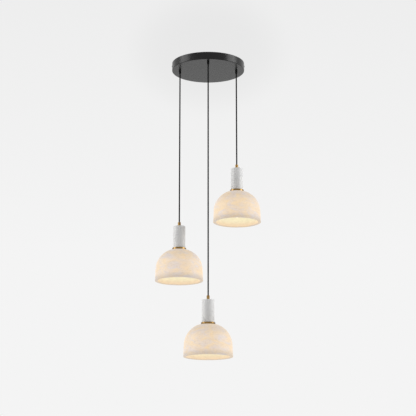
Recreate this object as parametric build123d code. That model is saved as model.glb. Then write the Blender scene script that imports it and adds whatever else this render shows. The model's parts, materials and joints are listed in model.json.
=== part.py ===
"""Cluster pendant light: a round canopy and three cords, each with a marble neck and an alabaster bowl.

Millimetres, +Z up.  The origin is the middle of the mounting bar's top face, on the ceiling plane,
and everything hangs below it.  One lamp is modelled about its own origin, the middle of the bowl's
top face, and set down three times.
"""
import os
from math import acos, atan2, cos, hypot, radians, sin, sqrt, tan

from build123d import *

# ---------------------------------------------------------------- clearances
fit_gap = 0.05          # radial gap of a thread or a snug fit
slip_gap = 0.3          # gap between pieces that pass or face each other
hole_gap = 0.2          # radial gap of a plain screw hole

# ---------------------------------------------------------------- canopy
canopy_diameter = 309.0
canopy_height = 32.0
canopy_sheet = 1.5
canopy_edge_round = 2.0

# ---------------------------------------------------------------- mounting bar inside the canopy
bar_width = 25.0
bar_thickness = 2.0
bar_leg_length = 18.0
bar_inner_bend_round = 1.0
ceiling_slot_spacing = 120.0
ceiling_slot_width = 5.2
ceiling_slot_length = 22.0
side_screw_diameter = 4.0
side_screw_length = 8.0
side_screw_head_diameter = 7.0
side_screw_head_height = 1.4
side_screw_drop = 11.0          # from the ceiling to the screws' axis
earth_screw_diameter = 4.0
earth_screw_head_diameter = 7.0
earth_screw_head_height = 2.4
earth_screw_x = 36.0
earth_screw_y = 7.5

# ---------------------------------------------------------------- terminal block under the bar
block_length = 44.0
block_width = 20.0
block_height = 14.0
block_edge_round = 1.0
pole_count = 3
pole_spacing = 12.0
wire_entry_diameter = 3.5
clamp_screw_diameter = 3.0
clamp_screw_length = 3.0
clamp_screw_row = 6.0           # from the block's middle to each row of clamp screws
block_screw_diameter = 3.0
block_screw_head_diameter = 5.0
block_screw_head_height = 2.0
block_screw_spacing = 34.0
screw_slot_width = 0.8
screw_slot_depth = 0.8

# ---------------------------------------------------------------- cords and their glands in the canopy
cord_diameter = 5.8
cord_edge_distance = 34.0       # from the canopy's edge in to each cord
cord_angles = {"left": 180.0, "middle": 270.0, "right": 0.0}
rim_drops = {"left": 914.0, "middle": 1244.0, "right": 665.0}   # canopy underside to bowl rim
tail_bend_radius = 15.0
gland_diameter = 10.0
gland_mouth_diameter = 7.4
gland_length = 13.0
gland_taper_length = 4.5
gland_thread_diameter = 8.0
gland_thread_spare = 1.0        # thread that stands past the nut
nut_across_flats = 13.0
nut_thickness = 4.0
grub_diameter = 3.0
grub_socket_diameter = 1.5
grub_socket_depth = 1.0
gland_grub_drop = 5.0           # from the canopy's underside to the grub screw

# ---------------------------------------------------------------- cord grip, neck and disc
grip_diameter = 12.5
grip_height = 18.0
grip_edge_round = 0.8
grip_cord_depth = 10.0
grip_rod_depth = 6.5
grip_grub_drop = 5.0            # from the grip's top to the grub screw
neck_diameter = 51.0
neck_length = 92.0
neck_edge_round = 0.8
neck_bore_gap = 0.4
disc_diameter = 58.5
disc_thickness = 10.0
disc_edge_round = 0.8

# ---------------------------------------------------------------- alabaster bowl
shade_rim_diameter = 200.0
shade_height = 129.0
shade_wall = 12.0
shade_skirt_height = 50.0
shade_skirt_taper = 2.6         # degrees in from upright
shade_crown_radius = 40.3       # the flat on top, out to where the shoulder's arc begins
shade_crown_round = 4.0
shade_rim_round = 2.0
shade_hole_gap = 1.0

# ---------------------------------------------------------------- hollow rod and what it clamps
rod_diameter = 8.0
rod_bore = 5.0
core_wires_diameter = 4.2
seal_washer_diameter = 40.0
seal_washer_thickness = 2.0
clamp_washer_diameter = 36.0
clamp_washer_thickness = 2.0

# ---------------------------------------------------------------- lamp holder
holder_diameter = 28.0
holder_mouth_gap = 0.6          # the bulb's cap ends this far outside the holder's mouth
holder_top_wall = 5.0
holder_edge_round = 1.5
shell_bore = 14.6
shell_wall = 0.6
shell_inset = 2.0               # from the holder's mouth to the shell's end
shell_drop = 4.0                # from the contact's seat to the shell's upper end
contact_diameter = 6.0
contact_height = 3.3

# ---------------------------------------------------------------- bulb
bulb_length = 80.0
globe_diameter = 45.0
globe_wall = 1.0
bulb_base_length = 30.0
bulb_neck_diameter = 20.0
cap_diameter = 13.9
cap_length = 25.0               # from the tip contact to the end of the straight cap
cap_thread_depth = 0.5
cap_thread_pitch = 2.8
cap_thread_turns = 5
cap_top_drop = 4.0              # from the tip contact to the cap's first thread
tip_diameter = 5.0
tip_height = 1.2
insulator_diameter = 11.0

# ---------------------------------------------------------------- levels that follow from the sizes above
canopy_underside = -canopy_height
canopy_floor = canopy_underside + canopy_sheet
canopy_inner_radius = canopy_diameter / 2 - canopy_sheet
bar_underside = -bar_thickness
block_underside = bar_underside - block_height
tail_level = bar_underside - block_height / 2
cord_circle_radius = canopy_diameter / 2 - cord_edge_distance
cord_radius = cord_diameter / 2
cord_bore_radius = cord_radius + 2 * fit_gap
gland_mouth = canopy_underside - gland_length
gland_top = canopy_floor + nut_thickness + gland_thread_spare
tail_end = gland_mouth + cord_radius + fit_gap

neck_foot = disc_thickness
grip_foot = neck_foot + neck_length
grip_top = grip_foot + grip_height
cord_foot = grip_top - grip_cord_depth + slip_gap
seal_top = -shade_wall
clamp_top = seal_top - seal_washer_thickness
nut_top = clamp_top - clamp_washer_thickness
holder_top = nut_top - nut_thickness
contact_top = holder_top - holder_top_wall
bulb_tip = contact_top - contact_height - slip_gap
holder_mouth = bulb_tip - cap_length + holder_mouth_gap
bulb_neck_level = bulb_tip - bulb_base_length
globe_centre = bulb_tip - bulb_length + globe_diameter / 2


# ---------------------------------------------------------------- simple shapes
def plug(diameter, bottom, top):
    """Upright round bar between two heights."""
    return Pos(0, 0, (bottom + top) / 2) * Cylinder(diameter / 2, top - bottom)


def tube(diameter, bore, bottom, top):
    """Upright tube between two heights."""
    return plug(diameter, bottom, top) - plug(bore, bottom, top)


def turned(outline):
    """Solid turned about the Z axis from a closed outline of radius and height."""
    face = make_face(Plane.XZ * Polyline(*outline, close=True))
    return revolve(face, Axis.Z)


def round_rims(shape, height, radius):
    """Rounds the round edges that lie at one height."""
    rims = [e for e in shape.edges().filter_by(GeomType.CIRCLE) if abs(e.center().Z - height) < 1e-6]
    return fillet(rims, radius)


def largest_rim(shape, height):
    """The widest round edge at one height."""
    rims = [e for e in shape.edges().filter_by(GeomType.CIRCLE) if abs(e.center().Z - height) < 1e-6]
    return max(rims, key=lambda e: e.radius)


def hexagon_nut(bore, bottom):
    """Hexagon nut that stands on a height."""
    body = extrude(RegularPolygon(nut_across_flats / 2, 6, major_radius=False), nut_thickness)
    return Pos(0, 0, bottom) * body - plug(bore, bottom, bottom + nut_thickness)


def slotted_screw(diameter, length, head_diameter, head_height):
    """Screw along Z: its head's seat at zero, its shank above and its slotted head below."""
    head = plug(head_diameter, -head_height, 0)
    head = fillet(largest_rim(head, -head_height), head_height / 3)
    slot = Pos(0, 0, -head_height) * Box(head_diameter, screw_slot_width, 2 * screw_slot_depth)
    return plug(diameter, 0, length) + (head - slot)


def grub_screw(length):
    """Headless screw along Z from zero up, with its key socket at the upper end."""
    return plug(grub_diameter, 0, length) - plug(grub_socket_diameter, length - grub_socket_depth, length)


def toward_back(shape, start, height):
    """Turns a shape that stands on Z to point along +Y, from a distance out and at a height."""
    return Pos(0, start, height) * Rot(X=-90) * shape


# ---------------------------------------------------------------- canopy pieces
def exit_point(name):
    """Where a lamp's cord leaves the canopy, in plan."""
    angle = radians(cord_angles[name])
    return cord_circle_radius * cos(angle), cord_circle_radius * sin(angle)


def canopy_pan():
    pan = plug(canopy_diameter, canopy_underside, 0)
    pan = fillet(largest_rim(pan, canopy_underside), canopy_edge_round)
    hollow = plug(2 * canopy_inner_radius, canopy_floor, 0)
    inner_round = max(canopy_edge_round - canopy_sheet, canopy_sheet / 5)
    hollow = fillet(largest_rim(hollow, canopy_floor), inner_round)
    pan -= hollow
    for name in cord_angles:
        x, y = exit_point(name)
        pan -= Pos(x, y, 0) * plug(gland_thread_diameter + 2 * hole_gap, canopy_underside, canopy_floor)
    screw_hole = Cylinder(side_screw_diameter / 2 + hole_gap, canopy_diameter + 2 * canopy_sheet)
    return pan - Pos(0, 0, -side_screw_drop) * Rot(Y=90) * screw_hole


def leg_face():
    """How far out the bar's legs reach before their edges meet the canopy's wall."""
    return sqrt(canopy_inner_radius**2 - (bar_width / 2) ** 2) - fit_gap


def crossbar():
    reach = leg_face()
    outer = Pos(0, 0, -bar_leg_length / 2) * Box(2 * reach, bar_width, bar_leg_length)
    outer = fillet(outer.edges().filter_by(Axis.Y).group_by(Axis.Z)[-1], bar_inner_bend_round + bar_thickness)
    inner_depth = bar_leg_length - bar_thickness
    inner = Box(2 * (reach - bar_thickness), bar_width, inner_depth)
    inner = fillet(inner.edges().filter_by(Axis.Y).group_by(Axis.Z)[-1], bar_inner_bend_round)
    bar = outer - Pos(0, 0, bar_underside - inner_depth / 2) * inner
    slot = SlotOverall(ceiling_slot_length, ceiling_slot_width)
    for side in (-1, 1):
        bar -= Pos(side * ceiling_slot_spacing / 2, 0, bar_underside) * extrude(slot, bar_thickness)
        screw_x = side * block_screw_spacing / 2
        bar -= Pos(screw_x, 0, 0) * plug(block_screw_diameter + 2 * fit_gap, bar_underside, 0)
    bar -= Pos(earth_screw_x, earth_screw_y, 0) * plug(earth_screw_diameter + 2 * fit_gap, bar_underside, 0)
    thread = Cylinder(side_screw_diameter / 2 + fit_gap, 2 * reach)
    return bar - Pos(0, 0, -side_screw_drop) * Rot(Y=90) * thread


def side_screws():
    screw = slotted_screw(
        side_screw_diameter, side_screw_length, side_screw_head_diameter, side_screw_head_height
    )
    seat = canopy_diameter / 2
    right = Pos(seat, 0, -side_screw_drop) * Rot(Y=-90) * screw
    left = Pos(-seat, 0, -side_screw_drop) * Rot(Y=90) * screw
    return [left, right]


def earth_screw():
    screw = slotted_screw(
        earth_screw_diameter, bar_thickness, earth_screw_head_diameter, earth_screw_head_height
    )
    return Pos(earth_screw_x, earth_screw_y, bar_underside) * screw


def pole_offsets():
    """Where the block's poles lie along X."""
    return [(i - (pole_count - 1) / 2) * pole_spacing for i in range(pole_count)]


def clamp_screw_places():
    return [(x, side * clamp_screw_row) for x in pole_offsets() for side in (-1, 1)]


def block_screw_places():
    return [(side * block_screw_spacing / 2, 0) for side in (-1, 1)]


def terminal_block():
    block = Pos(0, 0, tail_level) * Box(block_length, block_width, block_height)
    block = fillet(block.edges().filter_by(Axis.Z), block_edge_round)
    for x in pole_offsets():
        entry = plug(wire_entry_diameter, -block_width, 0)
        block -= toward_back(Pos(x, 0, 0) * entry, block_width / 2, tail_level)
    for x, y in clamp_screw_places():
        well = plug(clamp_screw_diameter + 2 * fit_gap, block_underside, block_underside + clamp_screw_length)
        block -= Pos(x, y, 0) * well
    for x, y in block_screw_places():
        shaft = plug(block_screw_diameter + 2 * fit_gap, block_underside, bar_underside)
        recess_top = block_underside + block_screw_head_height
        recess = plug(block_screw_head_diameter + 2 * hole_gap, block_underside, recess_top)
        block -= Pos(x, y, 0) * (shaft + recess)
    return block


def terminal_screws():
    screws = []
    for x, y in clamp_screw_places():
        screw = plug(clamp_screw_diameter, block_underside, block_underside + clamp_screw_length)
        slot = Box(clamp_screw_diameter, screw_slot_width, 2 * screw_slot_depth)
        screws.append(Pos(x, y, 0) * (screw - Pos(0, 0, block_underside) * slot))
    return screws


def block_screws():
    seat = block_underside + block_screw_head_height
    screw = slotted_screw(
        block_screw_diameter, -seat, block_screw_head_diameter, block_screw_head_height
    )
    return [Pos(x, y, seat) * screw for x, y in block_screw_places()]


def cord_gland():
    """Sleeve below the canopy with a thread up through its floor."""
    taper_top = gland_mouth + gland_taper_length
    sleeve = turned([
        (0, gland_mouth),
        (gland_mouth_diameter / 2, gland_mouth),
        (gland_diameter / 2, taper_top),
        (gland_diameter / 2, canopy_underside),
        (0, canopy_underside),
    ])
    gland = sleeve + plug(gland_thread_diameter, canopy_underside, gland_top)
    gland -= plug(2 * cord_bore_radius, gland_mouth, gland_top)
    hole = plug(grub_diameter + 2 * fit_gap, 0, gland_diameter / 2)
    return gland - toward_back(hole, 0, canopy_underside - gland_grub_drop)


def gland_screw():
    screw = grub_screw(gland_diameter / 2 - cord_bore_radius)
    return toward_back(screw, cord_bore_radius, canopy_underside - gland_grub_drop)


def cord_tail(name):
    """The cord's stretch inside gland and canopy: up, round one bend and in to the terminal block."""
    across = abs(cos(radians(cord_angles[name]))) > 0.5
    block_face = (block_length if across else block_width) / 2
    start = (cord_circle_radius, 0, tail_end)
    corner = (cord_circle_radius, 0, tail_level)
    stop = (block_face, 0, tail_level)
    route = FilletPolyline(start, corner, stop, radius=tail_bend_radius)
    tail = sweep(Plane(start) * Circle(cord_radius), path=route)
    return Rot(Z=cord_angles[name]) * tail


# ---------------------------------------------------------------- lamp pieces, about the bowl's top face
def free_cord(name):
    """The cord between gland and grip; its rounded top turns in the gland's mouth."""
    x, y = exit_point(name)
    bottom = bowl_top(name) + cord_foot
    return Pos(x, y, 0) * (plug(cord_diameter, bottom, gland_mouth) + Pos(0, 0, gland_mouth) * Sphere(cord_radius))


def cord_grip():
    grip = plug(grip_diameter, grip_foot, grip_top)
    grip = fillet(largest_rim(grip, grip_top), grip_edge_round)
    grip -= plug(2 * cord_bore_radius, grip_top - grip_cord_depth, grip_top)
    grip -= plug(rod_diameter + 2 * fit_gap, grip_foot, grip_foot + grip_rod_depth)
    grip -= plug(rod_bore, grip_foot, grip_top)
    hole = plug(grub_diameter + 2 * fit_gap, 0, grip_diameter / 2)
    return grip - toward_back(hole, 0, grip_top - grip_grub_drop)


def grip_screw():
    screw = grub_screw(grip_diameter / 2 - cord_bore_radius)
    return toward_back(screw, cord_bore_radius, grip_top - grip_grub_drop)


def neck():
    body = tube(neck_diameter, rod_diameter + 2 * neck_bore_gap, neck_foot, grip_foot)
    rims = [largest_rim(body, neck_foot), largest_rim(body, grip_foot)]
    return fillet(rims, neck_edge_round)


def collar_disc():
    body = tube(disc_diameter, rod_diameter + 2 * hole_gap, 0, disc_thickness)
    return fillet([largest_rim(body, 0), largest_rim(body, disc_thickness)], disc_edge_round)


def shade_outline(inset):
    """Rim, skirt end, shoulder middle and crown edge of the bowl, inset square to its outer surface.

    The shoulder is the arc that leaves the skirt's end smoothly and reaches the crown's edge.
    """
    taper = radians(shade_skirt_taper)
    skirt_radius = shade_rim_diameter / 2 - shade_skirt_height * tan(taper)
    run = skirt_radius - shade_crown_radius
    rise = shade_height - shade_skirt_height
    outer_shoulder = (run**2 + rise**2) / (2 * (run * cos(taper) - rise * sin(taper)))
    centre_r = skirt_radius - outer_shoulder * cos(taper)
    centre_z = shade_skirt_height - outer_shoulder * sin(taper)
    shoulder = outer_shoulder - inset
    skirt_end = (centre_r + shoulder * cos(taper), centre_z + shoulder * sin(taper))
    rim = (skirt_end[0] + skirt_end[1] * tan(taper), 0)
    crown_z = shade_height - inset
    crown = (centre_r + sqrt(shoulder**2 - (crown_z - centre_z) ** 2), crown_z)
    middle_angle = (taper + atan2(crown_z - centre_z, crown[0] - centre_r)) / 2
    middle = (centre_r + shoulder * cos(middle_angle), centre_z + shoulder * sin(middle_angle))
    return rim, skirt_end, middle, crown


def shade():
    """The bowl's wall, turned about the Z axis."""
    rim, skirt_end, middle, crown = shade_outline(0)
    inner_rim, inner_skirt_end, inner_middle, inner_crown = shade_outline(shade_wall)
    hole = rod_diameter / 2 + shade_hole_gap
    wires = [
        Line(rim, skirt_end),
        ThreePointArc(skirt_end, middle, crown),
        Polyline(crown, (hole, crown[1]), (hole, inner_crown[1]), inner_crown),
        ThreePointArc(inner_crown, inner_middle, inner_skirt_end),
        Polyline(inner_skirt_end, inner_rim, rim),
    ]
    bowl = revolve(make_face(Plane.XZ * (Curve() + wires)), Axis.Z)
    bowl = round_rims(bowl, 0, shade_rim_round)
    bowl = fillet(largest_rim(bowl, shade_height), shade_crown_round)
    return Pos(0, 0, -shade_height) * bowl


def threaded_rod():
    return tube(rod_diameter, rod_bore, contact_top, grip_foot + grip_rod_depth - fit_gap)


def core_wires():
    return plug(core_wires_diameter, contact_top, grip_top - grip_cord_depth)


def seal_washer():
    return tube(seal_washer_diameter, rod_diameter + 2 * hole_gap, clamp_top, seal_top)


def clamp_washer():
    return tube(clamp_washer_diameter, rod_diameter + 2 * hole_gap, nut_top, clamp_top)


def rod_nut():
    return hexagon_nut(rod_diameter + 2 * fit_gap, holder_top)


def lamp_holder():
    body = plug(holder_diameter, holder_mouth, holder_top)
    body = fillet([largest_rim(body, holder_mouth), largest_rim(body, holder_top)], holder_edge_round)
    body -= plug(shell_bore + 2 * shell_wall + 2 * fit_gap, holder_mouth, contact_top)
    return body - plug(rod_diameter + 2 * fit_gap, contact_top, holder_top)


def holder_contacts():
    """The screw shell, and the centre contact under the holder's top wall."""
    shell_top = contact_top - shell_drop
    shell = tube(shell_bore + 2 * shell_wall, shell_bore, holder_mouth + shell_inset, shell_top)
    contact = plug(contact_diameter, contact_top - contact_height, contact_top)
    contact_foot = plug(rod_diameter + 4 * hole_gap, contact_top - contact_height / 3, contact_top)
    return [shell, contact + contact_foot]


def bulb_base():
    """Tip contact, insulator, threaded cap and the flare that holds the glass, as one turned piece."""
    crest = cap_diameter / 2
    root = crest - cap_thread_depth
    thread_top = bulb_tip - cap_top_drop
    outline = [
        (0, bulb_tip),
        (tip_diameter / 2, bulb_tip),
        (tip_diameter / 2, bulb_tip - tip_height),
        (insulator_diameter / 2, thread_top + cap_thread_pitch / 4),
    ]
    for turn in range(cap_thread_turns):
        level = thread_top - turn * cap_thread_pitch
        outline.append((root, level))
        outline.append((crest, level - cap_thread_pitch / 2))
    thread_bottom = thread_top - cap_thread_turns * cap_thread_pitch
    outline.append((root, thread_bottom))
    outline.append((root, bulb_tip - cap_length))
    outline.append((bulb_neck_diameter / 2, bulb_neck_level))
    outline.append((0, bulb_neck_level))
    return turned(outline)


def globe_solid(inset):
    """Bulb outline: a cone from the base, tangent to the round glass."""
    neck_radius = bulb_neck_diameter / 2 - inset
    radius = globe_diameter / 2 - inset
    rise = bulb_neck_level - globe_centre
    angle = atan2(rise, neck_radius) - acos(radius / hypot(neck_radius, rise))
    touch = (radius * cos(angle), globe_centre + radius * sin(angle))
    lower_angle = (angle - radians(90)) / 2
    lower = (radius * cos(lower_angle), globe_centre + radius * sin(lower_angle))
    bottom = (0, globe_centre - radius)
    wires = [
        Polyline(bottom, (0, bulb_neck_level), (neck_radius, bulb_neck_level), touch),
        ThreePointArc(touch, lower, bottom),
    ]
    return revolve(make_face(Plane.XZ * (Curve() + wires)), Axis.Z)


def bulb_globe():
    return globe_solid(0) - globe_solid(globe_wall)


# ---------------------------------------------------------------- putting it together
def bowl_top(name):
    """Height of a lamp's own origin, the bowl's top face."""
    return canopy_underside - rim_drops[name] + shade_height


def at_exit(name, shape):
    x, y = exit_point(name)
    return Pos(x, y, 0) * shape


def write(node, shapes):
    """Writes one node; separate solids of a group stay separate."""
    shape = Compound(children=list(shapes)) if isinstance(shapes, list) else shapes
    export_step(shape, f"parts/{node}.step")


def main():
    os.makedirs("parts", exist_ok=True)
    names = list(cord_angles)
    write("canopy_pan", canopy_pan())
    write("crossbar", crossbar())
    write("side_screws", side_screws())
    write("earth_screw", earth_screw())
    write("terminal_block", terminal_block())
    write("terminal_screws", terminal_screws())
    write("block_screws", block_screws())
    nut = hexagon_nut(gland_thread_diameter + 2 * fit_gap, canopy_floor)
    write("gland_nuts", [at_exit(name, nut) for name in names])
    write("gland_screws", [at_exit(name, gland_screw()) for name in names])
    lamp = {
        "cord_grip": cord_grip(),
        "grip_screw": grip_screw(),
        "neck": neck(),
        "collar_disc": collar_disc(),
        "shade": shade(),
        "threaded_rod": threaded_rod(),
        "core_wires": core_wires(),
        "seal_washer": seal_washer(),
        "clamp_washer": clamp_washer(),
        "rod_nut": rod_nut(),
        "lamp_holder": lamp_holder(),
        "bulb_base": bulb_base(),
        "bulb_globe": bulb_globe(),
    }
    for name in names:
        x, y = exit_point(name)
        place = Pos(x, y, bowl_top(name))
        write(f"cord_gland_{name}", at_exit(name, cord_gland()))
        write(f"cord_tail_{name}", cord_tail(name))
        write(f"cord_{name}", free_cord(name))
        for piece, shape in lamp.items():
            write(f"{piece}_{name}", place * shape)
        write(f"holder_contacts_{name}", [place * solid for solid in holder_contacts()])


main()
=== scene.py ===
"""Looks for the three-bowl cluster pendant: meshes, materials, cords, light and camera.

Metres, +Z up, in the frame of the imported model: the ceiling plane is z = 0 and everything hangs below it.
"""
import json
from math import atan2, cos, hypot, pi, radians, sin, tan

import bmesh
import bpy
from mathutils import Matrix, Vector, noise

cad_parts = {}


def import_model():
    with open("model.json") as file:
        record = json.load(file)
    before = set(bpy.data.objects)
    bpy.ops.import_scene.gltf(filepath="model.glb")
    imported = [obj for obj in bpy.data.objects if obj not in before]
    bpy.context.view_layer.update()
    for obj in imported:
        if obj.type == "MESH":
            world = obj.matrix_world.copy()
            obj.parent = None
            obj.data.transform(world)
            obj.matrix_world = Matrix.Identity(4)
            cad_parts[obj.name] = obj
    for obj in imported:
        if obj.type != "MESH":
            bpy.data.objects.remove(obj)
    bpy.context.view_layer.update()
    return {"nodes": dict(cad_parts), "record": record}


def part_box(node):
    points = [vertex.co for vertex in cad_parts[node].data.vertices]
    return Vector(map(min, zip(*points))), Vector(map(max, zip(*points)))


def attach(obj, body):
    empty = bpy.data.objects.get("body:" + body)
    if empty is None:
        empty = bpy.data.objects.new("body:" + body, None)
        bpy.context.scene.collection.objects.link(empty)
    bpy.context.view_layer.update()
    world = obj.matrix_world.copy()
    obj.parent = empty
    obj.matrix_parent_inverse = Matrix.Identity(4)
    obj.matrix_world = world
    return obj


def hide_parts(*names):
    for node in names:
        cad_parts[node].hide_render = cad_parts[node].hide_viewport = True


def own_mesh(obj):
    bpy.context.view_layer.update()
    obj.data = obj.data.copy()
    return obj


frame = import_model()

LAMPS = ("left", "middle", "right")

# ------------------------------------------------------------------ camera and room
CAMERA_PLACE = (-0.00068, -5.57614, -1.96465)
CAMERA_PITCH = 13.41                    # degrees above the horizon
FOCAL_PIXELS = 1369.22                  # of the photograph's 416 pixels
PICTURE_PIXELS = 416
SENSOR = 0.036
FLOOR_LEVEL = -5.8
FLOOR_SIZE = 40.0
FLOOR_LIFT_REACH = (7.0, 18.0)
FLOOR_LIFT = (0.11, 0.24)               # what the eye sees the floor brighter by, from near to far

# ------------------------------------------------------------------ backdrop and light
BACKDROP_RISE = (0.20, 0.38)            # upward part of a direction, over which the backdrop's tone changes
BACKDROP_TONE = (0.905, 0.852)
CANOPY_SHADOW_RISE = 0.340                       # towards the canopy, around which the backdrop is darkened as a painted shadow of the canopy
CANOPY_SHADOW_SIZE = (0.042, 0.030)
CANOPY_SHADOW_EDGE = (0.2, 2.4)                  # from the painted shadow's full depth to none, in its own size squared
CANOPY_SHADOW_TONE = 0.94
STUDIO_DEPTH = (-0.80, -0.35)           # from towards the camera to sideways
STUDIO_STRENGTH = (0.16, 0.86)
SOFT_LIGHTS = {"soft_left": (-5.0, 98.0), "soft_right": (5.0, 115.0)}    # place to the side, watts
SOFT_LIGHT_DEPTH = -0.9
SOFT_LIGHT_LEVEL = 1.1
SOFT_LIGHT_SIZE = (3.0, 2.6)
SOFT_LIGHT_TARGET = (0.0, 0.0, -1.1)

# ------------------------------------------------------------------ bowl
SKIRT_HEIGHT = 0.050
SKIRT_TAPER = radians(2.6)
CROWN_RADIUS = 0.0403
BOWL_WALL = 0.012
BOWL_HOLE = 0.005
BOWL_RIM_ROUND = 0.002
BOWL_CROWN_ROUND = 0.004
BOWL_UNEVENNESS = 0.00025               # how far the hand-finished surface falls below the true one
UNEVENNESS_SCALE = 22.0
BOWL_SEGMENTS = 160
RIM_FACE_HEIGHT = 0.0015                # the wall's inner side counts as inside from here up

# ------------------------------------------------------------------ neck and disc
NECK_BORE = 0.0044
DISC_BORE = 0.0042
STONE_EDGE_ROUND = 0.0008
BRASS_EDGE_ROUND = 0.0008

# ------------------------------------------------------------------ bulb
GLOBE_WALL = 0.001
GLOBE_SEGMENTS = 72
BULB_NECK_RADIUS = 0.010

# ------------------------------------------------------------------ cords
GLAND_MOUTH = -0.045
CORD_SIDES = 28
CORD_ROW = 0.0008                       # distance between rings of the braided tube
CORD_CAP_ANGLES = (1.5, 1.1, 0.7, 0.35)    # rings of the cord's rounded upper end
STRANDS = 7                             # strands of the braid each way round
BRAID_PITCH = 0.022                     # length in which a strand goes once round
BRAID_RELIEF = 0.00016


# ================================================================== meshes
def new_object(name, mesh):
    piece = bpy.data.objects.new(name, mesh)
    bpy.context.scene.collection.objects.link(piece)
    return piece


def rounded(corners, steps=5):
    """Closed outline of (radius, height) points; a corner given as (radius, height, round) becomes an arc."""
    points = []
    for i, (radius, height, size) in enumerate(corners):
        here = Vector((radius, height))
        if not size:
            points.append(here)
            continue
        back = (Vector(corners[i - 1][:2]) - here).normalized()
        on = (Vector(corners[(i + 1) % len(corners)][:2]) - here).normalized()
        half = back.angle(on) / 2
        centre = here + (back + on).normalized() * size / sin(half)
        start = here + back * size / tan(half) - centre
        stop = here + on * size / tan(half) - centre
        for step in range(steps + 1):
            share = step / steps
            spoke = start.lerp(stop, share).normalized() * size
            points.append(centre + spoke)
    return points


def turned(name, outline, axis, segments=96):
    """Mesh turned about an upright axis from a closed outline; rings at zero radius close in one point."""
    mesh = bmesh.new()
    rings = []
    for radius, height in outline:
        if radius < 1e-7:
            rings.append([mesh.verts.new((axis[0], axis[1], height))] * segments)
            continue
        ring = []
        for s in range(segments):
            angle = 2 * pi * s / segments
            ring.append(mesh.verts.new((axis[0] + radius * cos(angle), axis[1] + radius * sin(angle), height)))
        rings.append(ring)
    for lower, upper in zip(rings, rings[1:] + rings[:1]):
        for s in range(segments):
            t = (s + 1) % segments
            corners = list(dict.fromkeys([lower[s], lower[t], upper[t], upper[s]]))
            if len(corners) > 2:
                mesh.faces.new(corners)
    bmesh.ops.recalc_face_normals(mesh, faces=mesh.faces)
    for face in mesh.faces:
        face.smooth = True
    data = bpy.data.meshes.new(name)
    mesh.to_mesh(data)
    mesh.free()
    return new_object(name, data)


def place_of(node):
    """Axis, foot and top of a CAD node that is round about an upright axis."""
    low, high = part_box(node)
    return ((low[0] + high[0]) / 2, (low[1] + high[1]) / 2), low[2], high[2]


def width_of(node):
    low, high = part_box(node)
    return high[0] - low[0]


def stand_in(piece, node, body, material):
    """The piece stands for a CAD node, rides on its body and has its material slot."""
    piece.data.materials.append(material)
    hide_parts(node)
    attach(piece, body)


# ================================================================== node helpers
class Nodes:
    """Builds the nodes of one tree."""

    def __init__(self, tree):
        self.tree = tree
        self.tree.nodes.clear()

    def node(self, kind, inputs=None, **settings):
        """A node whose inputs are given by name or number, as values or as other nodes' outputs."""
        made = self.tree.nodes.new("ShaderNode" + kind)
        for name, value in settings.items():
            setattr(made, name, value)
        for socket, value in (inputs or {}).items():
            self.put(made.inputs[socket], value)
        return made

    def put(self, socket, value):
        if isinstance(value, bpy.types.NodeSocket):
            self.tree.links.new(value, socket)
        elif hasattr(socket.default_value, "__len__") and len(value) == 3 and len(socket.default_value) == 4:
            socket.default_value = (*value, 1.0)
        else:
            socket.default_value = value

    def math(self, operation, a, b=0.0):
        return self.node("Math", {0: a, 1: b}, operation=operation).outputs[0]

    def between(self, share, a, b):
        """A number between two others."""
        return self.node("Mix", {0: share, 2: a, 3: b}).outputs[0]

    def spread(self, value, low, high, to_low=0.0, to_high=1.0, smooth=True):
        """Maps a value from one range to another, clamped."""
        inputs = {"Value": value, "From Min": low, "From Max": high, "To Min": to_low, "To Max": to_high}
        kind = "SMOOTHSTEP" if smooth else "LINEAR"
        return self.node("MapRange", inputs, interpolation_type=kind).outputs[0]

    def seen(self):
        """1 for rays that show a surface to the eye, straight, mirrored or through glass, and 0 for other light."""
        rays = self.node("LightPath").outputs
        straight_or_mirrored = self.math("MAXIMUM", rays["Is Camera Ray"], rays["Is Glossy Ray"])
        return self.math("MAXIMUM", straight_or_mirrored, rays["Is Transmission Ray"])


class Shader(Nodes):
    """Builds one node material with a Principled surface."""

    def __init__(self, name):
        self.material = bpy.data.materials.new(name)
        self.material.use_nodes = True
        super().__init__(self.material.node_tree)
        self.surface = self.node("BsdfPrincipled")
        self.node("OutputMaterial", {"Surface": self.surface.outputs[0]})
        self.coordinates = self.node("TexCoord").outputs["Object"]

    def set(self, **values):
        """Sets the surface's own sockets, with _ for a blank in a socket's name."""
        for name, value in values.items():
            self.put(self.surface.inputs[name.replace("_", " ")], value)

    def stretched(self, x, y, z):
        """The object's coordinates, scaled."""
        return self.node("Mapping", {"Vector": self.coordinates, "Scale": (x, y, z)}).outputs[0]

    def noise(self, scale, detail=3.0, roughness=0.5, distortion=0.0, vector=None):
        inputs = {"Vector": vector or self.coordinates, "Scale": scale, "Detail": detail,
                  "Roughness": roughness, "Distortion": distortion}
        return self.node("TexNoise", inputs).outputs["Fac"]

    def lines(self, noise, width):
        """1 along the lines where a noise passes its middle value, fading to 0 at a width from them."""
        return self.spread(self.math("ABSOLUTE", self.math("SUBTRACT", noise, 0.5)), 0.0, width, 1.0, 0.0)

    def mix(self, share, a, b):
        """A colour between two others."""
        return self.node("Mix", {0: share, 6: a, 7: b}, data_type="RGBA").outputs[2]

    def bump(self, height, distance, strength=1.0):
        inputs = {"Height": height, "Distance": distance, "Strength": strength}
        self.put(self.surface.inputs["Normal"], self.node("Bump", inputs).outputs[0])

    def attribute(self, name):
        return self.node("Attribute", attribute_name=name).outputs["Fac"]

    def ramp(self, value, stops):
        """Colour from a value; stops are (position, colour)."""
        made = self.node("ValToRGB", {"Fac": value})
        ramp = made.color_ramp
        while len(ramp.elements) < len(stops):
            ramp.elements.new(0.5)
        for element, (position, colour) in zip(ramp.elements, stops):
            element.position = position
            element.color = (*colour, 1.0)
        return made.outputs[0]


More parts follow.
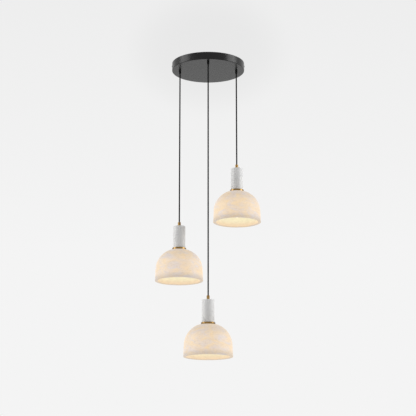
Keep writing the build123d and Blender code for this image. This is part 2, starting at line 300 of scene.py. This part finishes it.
# ================================================================== materials
def alabaster():
    """Alabaster with cloudy cream and honey patches and faint veins; its glow is painted light, an emission that
    stands in for the bulb's light through the wall, weakest at crown and rim, and brighter on the inner side.
    """
    s = Shader("alabaster")
    flattened = s.stretched(1.0, 1.0, 2.0)
    clouds = s.noise(21.0, 4.0, 0.5, 0.9, flattened)
    patches = s.noise(58.0, 3.0, 0.55, 0.8, flattened)
    turning = s.noise(14.0, 3.0, 0.6, 0.0, s.stretched(1.0, 1.0, 24.0))
    vein_lines = s.lines(s.noise(30.0, 5.0, 0.6, 2.2, flattened), 0.030)
    fine = s.noise(420.0, 2.0)

    # The stone's own colour, kept dark and cool; its warm brightness is the painted glow below.
    stone = s.ramp(clouds, [
        (0.30, (0.205, 0.230, 0.280)),
        (0.50, (0.215, 0.240, 0.275)),
        (0.70, (0.225, 0.245, 0.270)),
    ])
    stone = s.mix(s.spread(patches, 0.4, 0.75, 0.0, 0.3), stone, (0.28, 0.30, 0.33))
    stone = s.mix(s.math("MULTIPLY", vein_lines, 0.16), stone, (0.17, 0.16, 0.16))
    s.set(Base_Color=stone, Roughness=s.spread(fine, 0.3, 0.7, 0.46, 0.56), Specular_IOR_Level=0.3)

    # Painted glow: emission that stands in for the bulb's light through the wall, honey in the clouds and browner
    # along the veins.
    warm = s.ramp(clouds, [
        (0.30, (0.965, 0.800, 0.670)),
        (0.44, (0.985, 0.758, 0.530)),
        (0.56, (1.000, 0.725, 0.415)),
        (0.72, (1.000, 0.690, 0.320)),
    ])
    brown = s.math("MULTIPLY", vein_lines, s.spread(patches, 0.40, 0.60, 0.05, 0.45))
    warm = s.mix(brown, warm, (0.85, 0.56, 0.34))
    height = s.attribute("height")
    inner = s.attribute("inner")
    # Painted glow, dimmer just above the rim and under the crown, and cloudy, banded and veined like the stone.
    above_rim = s.spread(height, 0.002, 0.026, 0.72, 1.0)
    below_crown = s.spread(height, 0.063, 0.126, 1.0, 0.74)
    cloudy = s.spread(clouds, 0.3, 0.7, 0.94, 1.06)
    banded = s.spread(turning, 0.3, 0.7, 0.97, 1.03)
    veined = s.math("SUBTRACT", 1.0, s.math("MULTIPLY", vein_lines, 0.09))
    glow = 0.70
    for part in (above_rim, below_crown, cloudy, banded, veined):
        glow = s.math("MULTIPLY", glow, part)
    # Inner side: painted light that stands in for the bulb lighting the wall, paler and a little brighter higher up;
    # the bulb's own light adds to it.
    deep = s.spread(height, 0.0, 0.030)
    inside = s.mix(deep, (1.0, 0.695, 0.395), (1.0, 0.862, 0.525))
    painted_inner_glow = s.math("MULTIPLY", s.spread(deep, 0.0, 1.0, 0.71, 0.74), s.spread(patches, 0.3, 0.7, 0.95, 1.05))
    s.set(Emission_Color=s.mix(inner, warm, inside), Emission_Strength=s.between(inner, glow, painted_inner_glow))
    s.bump(s.math("ADD", s.math("MULTIPLY", clouds, 0.6), s.math("MULTIPLY", fine, 0.1)), 0.0006, 0.35)
    return s.material


def veined_marble():
    """White stone with soft grey clouds and thin darker veins, honed."""
    s = Shader("veined_marble")
    clouds = s.noise(38.0, 4.0, 0.55, 1.0, s.stretched(1.0, 1.0, 0.7))
    vein_lines = s.lines(s.noise(22.0, 6.0, 0.62, 2.6), 0.045)
    sparse = s.spread(s.noise(30.0, 2.0), 0.45, 0.65)
    grains = s.noise(900.0, 2.0)
    stone = s.ramp(clouds, [
        (0.30, (0.745, 0.745, 0.750)),
        (0.50, (0.800, 0.797, 0.790)),
        (0.70, (0.825, 0.820, 0.810)),
    ])
    stone = s.mix(s.math("MULTIPLY", s.math("MULTIPLY", vein_lines, sparse), 0.5), stone, (0.38, 0.38, 0.39))
    stone = s.mix(s.spread(grains, 0.4, 0.7, 0.0, 0.12), stone, (0.88, 0.88, 0.87))
    s.set(Base_Color=stone, Roughness=s.spread(grains, 0.3, 0.7, 0.30, 0.40), Specular_IOR_Level=0.3)
    s.bump(grains, 0.0002, 0.15)
    return s.material


def polished_brass():
    """Lacquered brass with fine turning marks and slightly uneven polish; its colour is darkened well below real
    brass, a painted dark reflection.
    """
    s = Shader("polished_brass")
    haze = s.noise(70.0, 3.0, 0.6)
    marks = s.noise(26.0, 3.0, 0.6, 0.0, s.stretched(1.0, 1.0, 160.0))
    # Painted dark reflection: brass tones much darker than brass, mixed unevenly for the uneven polish.
    brass = s.mix(s.spread(haze, 0.3, 0.7), (0.20, 0.120, 0.040), (0.29, 0.180, 0.065))
    s.set(Base_Color=brass, Metallic=1.0, Roughness=s.spread(haze, 0.3, 0.7, 0.17, 0.27))
    s.bump(marks, 0.00008, 0.3)
    return s.material


def canopy_steel():
    """Dark satin coat on brushed steel."""
    s = Shader("canopy_steel")
    brushed = s.noise(60.0, 4.0, 0.6, 0.0, s.stretched(1.0, 9.0, 1.0))
    cloudy = s.noise(18.0, 3.0)
    tone = s.mix(s.spread(brushed, 0.3, 0.7), (0.003, 0.003, 0.003), (0.007, 0.007, 0.007))
    tone = s.mix(s.spread(cloudy, 0.35, 0.7, 0.0, 0.3), tone, (0.010, 0.010, 0.010))
    s.set(Base_Color=tone, Roughness=s.spread(brushed, 0.3, 0.7, 0.22, 0.34), Specular_IOR_Level=0.26)
    s.bump(brushed, 0.0001, 0.15)
    return s.material


def metal(name, dark, light, roughness, grain):
    """Plain machined or plated metal with a cloudy finish."""
    s = Shader(name)
    cloudy = s.noise(grain, 4.0, 0.6, 0.4)
    low, high = roughness
    s.set(Base_Color=s.mix(s.spread(cloudy, 0.3, 0.7), dark, light), Metallic=1.0)
    s.set(Roughness=s.spread(cloudy, 0.3, 0.7, low, high))
    s.bump(s.noise(grain * 12, 2.0), 0.00005, 0.3)
    return s.material


def moulded(name, dark, light, roughness, grain, gloss=0.5):
    """Moulded or fired material with a fine surface grain."""
    s = Shader(name)
    grains = s.noise(grain, 2.0)
    cloudy = s.noise(45.0, 3.0)
    low, high = roughness
    s.set(Base_Color=s.mix(s.spread(cloudy, 0.3, 0.7), dark, light))
    s.set(Roughness=s.spread(grains, 0.3, 0.7, low, high), Specular_IOR_Level=gloss)
    s.bump(grains, 0.0001, 0.3)
    return s.material


def cord_fabric():
    """Black braided sleeve with fibres that catch a little light."""
    s = Shader("cord_fabric")
    fibres = s.noise(2600.0, 2.0, 0.6, 0.0, s.stretched(1.0, 1.0, 0.35))
    worn = s.noise(240.0, 3.0)
    tone = s.mix(s.spread(fibres, 0.35, 0.7), (0.005, 0.005, 0.005), (0.020, 0.020, 0.020))
    tone = s.mix(s.spread(worn, 0.5, 0.75, 0.0, 0.25), tone, (0.032, 0.032, 0.032))
    s.set(Base_Color=tone, Roughness=s.spread(fibres, 0.3, 0.7, 0.65, 0.8), Specular_IOR_Level=0.02)
    s.bump(fibres, 0.0001, 0.5)
    return s.material


def opal_glass():
    """Frosted bulb, lit, its warm colour a little uneven."""
    s = Shader("opal_glass")
    frost = s.noise(900.0, 2.0)
    uneven = s.noise(30.0, 2.0)
    warm = s.mix(s.spread(uneven, 0.3, 0.7), (1.0, 0.80, 0.52), (1.0, 0.86, 0.62))
    s.set(Base_Color=(0.45, 0.44, 0.41), Roughness=s.spread(frost, 0.3, 0.7, 0.30, 0.45))
    s.set(Emission_Color=warm, Emission_Strength=1.1)
    s.bump(frost, 0.0001, 0.2)
    return s.material


def all_materials():
    """One material for each material slot of the record."""
    return {
        "alabaster": alabaster(),
        "veined_marble": veined_marble(),
        "polished_brass": polished_brass(),
        "canopy_steel": canopy_steel(),
        "cord_fabric": cord_fabric(),
        "opal_glass": opal_glass(),
        "zinc_steel": metal("zinc_steel", (0.48, 0.49, 0.51), (0.62, 0.63, 0.64), (0.30, 0.45), 160.0),
        "dark_screw": metal("dark_screw", (0.05, 0.05, 0.055), (0.09, 0.09, 0.09), (0.35, 0.5), 300.0),
        "contact_brass": metal("contact_brass", (0.55, 0.38, 0.16), (0.68, 0.50, 0.24), (0.28, 0.4), 200.0),
        "bulb_cap_metal": metal("bulb_cap_metal", (0.58, 0.58, 0.58), (0.72, 0.72, 0.71), (0.25, 0.38), 200.0),
        "block_nylon": moulded("block_nylon", (0.58, 0.57, 0.52), (0.66, 0.65, 0.60), (0.42, 0.55), 1500.0),
        "gland_nylon": moulded("gland_nylon", (0.003, 0.003, 0.003), (0.008, 0.008, 0.008), (0.5, 0.6), 1800.0, 0.1),
        "wire_sheath": moulded("wire_sheath", (0.10, 0.02, 0.01), (0.14, 0.03, 0.015), (0.4, 0.5), 1500.0),
        "seal_rubber": moulded("seal_rubber", (0.012, 0.012, 0.012), (0.022, 0.022, 0.022), (0.6, 0.75), 1500.0),
        "holder_ceramic": moulded("holder_ceramic", (0.72, 0.70, 0.64), (0.80, 0.78, 0.73), (0.35, 0.5), 1200.0),
    }


# ================================================================== lamp pieces
def bowl_side(rim_radius, height, inset, skirt_steps=8, shoulder_steps=30):
    """From rim to crown edge, (radius, height above the rim), inset square to the outer surface."""
    skirt_radius = rim_radius - SKIRT_HEIGHT * tan(SKIRT_TAPER)
    run = skirt_radius - CROWN_RADIUS
    rise = height - SKIRT_HEIGHT
    shoulder = (run**2 + rise**2) / (2 * (run * cos(SKIRT_TAPER) - rise * sin(SKIRT_TAPER)))
    centre_r = skirt_radius - shoulder * cos(SKIRT_TAPER)
    centre_z = SKIRT_HEIGHT - shoulder * sin(SKIRT_TAPER)
    reach = shoulder - inset
    top_angle = pi / 2 - atan2((reach**2 - (height - inset - centre_z) ** 2) ** 0.5, height - inset - centre_z)
    skirt_end = (centre_r + reach * cos(SKIRT_TAPER), centre_z + reach * sin(SKIRT_TAPER))
    foot = (skirt_end[0] + skirt_end[1] * tan(SKIRT_TAPER), 0.0)
    line = []
    for step in range(skirt_steps):
        share = step / skirt_steps
        line.append((foot[0] + share * (skirt_end[0] - foot[0]), share * skirt_end[1]))
    for step in range(shoulder_steps + 1):
        angle = SKIRT_TAPER + (top_angle - SKIRT_TAPER) * step / shoulder_steps
        line.append((centre_r + reach * cos(angle), centre_z + reach * sin(angle)))
    return line


def bowl_outline(rim_radius, height):
    """The bowl's wall as corners with rounds, from the outer rim up, in through the crown and back down."""
    outer = [(r, z, 0.0) for r, z in bowl_side(rim_radius, height, 0.0)]
    inner = [(r, z, 0.0) for r, z in bowl_side(rim_radius, height, BOWL_WALL)]
    outer[0] = (*outer[0][:2], BOWL_RIM_ROUND)
    inner[0] = (*inner[0][:2], BOWL_RIM_ROUND)
    outer[-1] = (*outer[-1][:2], BOWL_CROWN_ROUND)
    hole = [(BOWL_HOLE, height, 0.0), (BOWL_HOLE, height - BOWL_WALL, 0.0)]
    return outer + hole + inner[::-1]


def rim_radius_of(node):
    """Radius at the rim's sharp corner, before it is rounded, from the width of the rounded solid."""
    half_width = width_of(node) / 2
    return half_width + BOWL_RIM_ROUND * (1 / cos(SKIRT_TAPER) - 1 + tan(SKIRT_TAPER))


def bowl(name, material):
    """The alabaster bowl, with a slightly uneven hand-finished surface."""
    node = f"shade_{name}"
    axis, rim, top = place_of(node)
    height = top - rim
    radius = rim_radius_of(node)
    outline = rounded(bowl_outline(radius, height))
    piece = turned(f"bowl_{name}", [(r, rim + z) for r, z in outline], axis, BOWL_SEGMENTS)
    inner_side = piece.data.attributes.new("inner", "FLOAT", "POINT")
    level = piece.data.attributes.new("height", "FLOAT", "POINT")
    for vertex in piece.data.vertices:
        out = Vector((vertex.co.x - axis[0], vertex.co.y - axis[1]))
        above = vertex.co.z - rim
        mid_wall = bowl_mid_radius(radius, height, above)
        inner_side.data[vertex.index].value = 1.0 if out.length < mid_wall and above > RIM_FACE_HEIGHT else 0.0
        level.data[vertex.index].value = above
        sink = BOWL_UNEVENNESS * (0.5 + 0.5 * noise.noise(vertex.co * UNEVENNESS_SCALE))
        vertex.co -= Vector((*(out.normalized() * sink), 0.0))
    stand_in(piece, node, f"lamp_{name}", material)


def bowl_mid_radius(rim_radius, height, above):
    """Radius of the middle of the wall at a height above the rim."""
    line = bowl_side(rim_radius, height, BOWL_WALL / 2)
    for (r0, z0), (r1, z1) in zip(line, line[1:]):
        if z0 <= above <= z1:
            return r0 + (r1 - r0) * (above - z0) / (z1 - z0)
    return line[0][0] if above < 0 else 0.0


def neck(name, material):
    node = f"neck_{name}"
    axis, foot, top = place_of(node)
    radius = width_of(node) / 2
    outline = rounded([
        (radius, foot, STONE_EDGE_ROUND),
        (radius, foot + (top - foot) / 2, 0.0),
        (radius, top, STONE_EDGE_ROUND),
        (NECK_BORE, top, 0.0),
        (NECK_BORE, foot, 0.0),
    ])
    piece = turned(f"marble_neck_{name}", outline, axis)
    stand_in(piece, node, f"lamp_{name}", material)


def disc(name, material):
    node = f"collar_disc_{name}"
    axis, foot, top = place_of(node)
    radius = width_of(node) / 2
    outline = rounded([
        (radius, foot, BRASS_EDGE_ROUND),
        (radius, top, BRASS_EDGE_ROUND),
        (DISC_BORE, top, 0.0),
        (DISC_BORE, foot, 0.0),
    ])
    piece = turned(f"brass_disc_{name}", outline, axis)
    stand_in(piece, node, f"lamp_{name}", material)


def globe(name, material):
    """The bulb's glass: a round globe that narrows straight to its neck, hollow inside."""
    node = f"bulb_globe_{name}"
    axis, foot, top = place_of(node)
    radius = width_of(node) / 2
    centre = foot + radius

    def skin(inset, steps=28):
        ball = radius - inset
        throat = BULB_NECK_RADIUS - inset
        rise = top - centre
        reach = hypot(throat, rise)
        touch = atan2(rise, throat) - atan2((reach**2 - ball**2) ** 0.5, ball)
        side = [(throat, top)]
        for step in range(steps + 1):
            angle = touch + (-pi / 2 - touch) * step / steps
            side.append((max(ball * cos(angle), 0.0), centre + ball * sin(angle)))
        return side

    outline = skin(0.0) + skin(GLOBE_WALL)[::-1]
    piece = turned(f"opal_globe_{name}", outline, axis, GLOBE_SEGMENTS)
    stand_in(piece, node, f"bulb_{name}", material)


# ================================================================== cords
def cord_route(name):
    """Points down the middle of a free cord, from the gland's mouth to its foot in the grip."""
    axis, foot, _ = place_of(f"cord_{name}")
    drop = GLAND_MOUTH - foot
    return [(axis[0], axis[1], GLAND_MOUTH - drop * share) for share in (0.0, 0.3, 0.7, 1.0)]


def spline_points(name, route):
    """Points along the NURBS spline that has the route as its control points."""
    curve = bpy.data.curves.new(f"route_{name}", "CURVE")
    curve.dimensions = "3D"
    curve.resolution_u = 24
    spline = curve.splines.new("NURBS")
    spline.points.add(len(route) - 1)
    for point, place in zip(spline.points, route):
        point.co = (*place, 1.0)
    spline.order_u = 3
    spline.use_endpoint_u = True
    holder = new_object(f"route_{name}", curve)
    mesh = bpy.data.meshes.new_from_object(holder)
    points = [vertex.co.copy() for vertex in mesh.vertices]
    bpy.data.objects.remove(holder)
    bpy.data.curves.remove(curve)
    bpy.data.meshes.remove(mesh)
    return points


def along(points, distance):
    """The point at a distance along a line of points."""
    for start, stop in zip(points, points[1:]):
        step = (stop - start).length
        if distance <= step:
            return start.lerp(stop, distance / step)
        distance -= step
    return points[-1]


def braid_height(angle, distance):
    """Relief of two sets of strands that cross, 0 in the gaps to 1 on a strand's back."""
    turn = 2 * pi * distance / BRAID_PITCH
    right = abs(cos(STRANDS * (angle + turn) / 2))
    left = abs(cos(STRANDS * (angle - turn) / 2))
    over = 0.5 + 0.5 * cos(STRANDS * angle) * cos(STRANDS * turn)
    return right * over + left * (1 - over)


def braided_cord(name, material):
    """A free cord as a tube along its route, its upper end rounded where it turns in the gland."""
    points = spline_points(name, cord_route(name))
    length = (points[-1] - points[0]).length
    cord_radius = width_of(f"cord_{name}") / 2
    rows = [(-cord_radius * sin(a), cos(a)) for a in CORD_CAP_ANGLES]
    count = round(length / CORD_ROW)
    rows += [(length * i / count, 1.0) for i in range(count + 1)]
    mesh = bmesh.new()
    rings = []
    for distance, share in rows:
        centre = along(points, max(distance, 0.0)) + Vector((0.0, 0.0, -min(distance, 0.0)))
        ring = []
        for s in range(CORD_SIDES):
            angle = 2 * pi * s / CORD_SIDES
            radius = share * (cord_radius - BRAID_RELIEF * (1 - braid_height(angle, distance)))
            ring.append(mesh.verts.new(centre + Vector((radius * cos(angle), radius * sin(angle), 0.0))))
        rings.append(ring)
    for upper, lower in zip(rings, rings[1:]):
        for s in range(CORD_SIDES):
            t = (s + 1) % CORD_SIDES
            mesh.faces.new([upper[s], lower[s], lower[t], upper[t]])
    mesh.faces.new(rings[0])
    mesh.faces.new(rings[-1][::-1])
    for face in mesh.faces:
        face.smooth = True
    data = bpy.data.meshes.new(f"braided_cord_{name}")
    mesh.to_mesh(data)
    mesh.free()
    piece = new_object(f"braided_cord_{name}", data)
    stand_in(piece, f"cord_{name}", f"hang_{name}", material)
    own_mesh(piece)


# ================================================================== room
def world():
    """Pale studio, darker on the side where the camera stands; the picture's background is its own colour, with a
    painted shadow of the canopy around it.
    """
    scene = bpy.context.scene
    scene.world = bpy.data.worlds.new("studio")
    scene.world.use_nodes = True
    n = Nodes(scene.world.node_tree)
    x, y, z = n.node("SeparateXYZ", {0: n.node("TexCoord").outputs["Generated"]}).outputs

    wall = n.spread(z, *BACKDROP_RISE, *BACKDROP_TONE, smooth=False)
    # Painted shadow: the backdrop is darkened in a soft patch around the canopy, only ahead of the camera.
    across = n.math("POWER", n.math("DIVIDE", x, CANOPY_SHADOW_SIZE[0]), 2.0)
    upright = n.math("POWER", n.math("DIVIDE", n.math("SUBTRACT", z, CANOPY_SHADOW_RISE), CANOPY_SHADOW_SIZE[1]), 2.0)
    painted_canopy_shadow = n.spread(n.math("ADD", across, upright), *CANOPY_SHADOW_EDGE, CANOPY_SHADOW_TONE, 1.0)
    ahead = n.math("GREATER_THAN", y, 0.0)
    backdrop = n.math("MULTIPLY", wall, n.between(ahead, 1.0, painted_canopy_shadow))
    light = n.spread(y, *STUDIO_DEPTH, *STUDIO_STRENGTH)

    lit, shown = (n.node("Background", {0: n.node("CombineColor", {0: grey, 1: grey, 2: grey}).outputs[0]})
                  for grey in (light, backdrop))
    both = n.node("MixShader", {0: n.seen(), 1: lit.outputs[0], 2: shown.outputs[0]})
    n.node("OutputWorld", {"Surface": both.outputs[0]})


def lights():
    """A large soft light high on each side."""
    for name, (side, power) in SOFT_LIGHTS.items():
        lamp = bpy.data.lights.new(name, "AREA")
        lamp.shape = "RECTANGLE"
        lamp.size, lamp.size_y = SOFT_LIGHT_SIZE
        lamp.energy = power
        holder = bpy.data.objects.new(name, lamp)
        bpy.context.scene.collection.objects.link(holder)
        holder.location = (side, SOFT_LIGHT_DEPTH, SOFT_LIGHT_LEVEL)
        aim = Vector(SOFT_LIGHT_TARGET) - holder.location
        holder.rotation_euler = aim.to_track_quat("-Z", "Y").to_euler()


def floor():
    mesh = bmesh.new()
    half = FLOOR_SIZE / 2
    mesh.faces.new([mesh.verts.new((x, y, FLOOR_LEVEL)) for x, y in
                    ((-half, -half), (half, -half), (half, half), (-half, half))])
    data = bpy.data.meshes.new("floor")
    mesh.to_mesh(data)
    mesh.free()
    piece = new_object("floor", data)
    s = Shader("floor_paint")
    speckle = s.noise(8.0, 4.0)
    s.set(Base_Color=s.mix(s.spread(speckle, 0.3, 0.7), (0.86, 0.86, 0.855), (0.88, 0.88, 0.875)), Roughness=0.8)
    distance = s.node("VectorMath", {0: s.coordinates}, operation="LENGTH").outputs["Value"]
    lift = s.spread(distance, *FLOOR_LIFT_REACH, *FLOOR_LIFT)
    s.set(Emission_Color=(1.0, 1.0, 1.0), Emission_Strength=s.math("MULTIPLY", s.seen(), lift))
    piece.data.materials.append(s.material)


def camera():
    data = bpy.data.cameras.new("camera")
    data.sensor_width = SENSOR * 1000
    data.lens = FOCAL_PIXELS / PICTURE_PIXELS * SENSOR * 1000
    data.clip_end = 100.0
    holder = bpy.data.objects.new("camera", data)
    bpy.context.scene.collection.objects.link(holder)
    holder.location = CAMERA_PLACE
    holder.rotation_euler = (radians(90 + CAMERA_PITCH), 0.0, 0.0)
    bpy.context.scene.camera = holder


# ================================================================== the whole scene
def main():
    bpy.context.scene.view_settings.view_transform = "Standard"
    camera()
    materials = all_materials()
    for subpart in frame["record"]["subparts"]:
        node = frame["nodes"][subpart["node"]]
        for i in range(len(node.material_slots)):
            node.material_slots[i].material = materials[subpart["material_slot"]]
    for name in LAMPS:
        braided_cord(name, materials["cord_fabric"])
        bowl(name, materials["alabaster"])
        neck(name, materials["veined_marble"])
        disc(name, materials["polished_brass"])
        globe(name, materials["opal_glass"])
    world()
    lights()
    floor()


main()
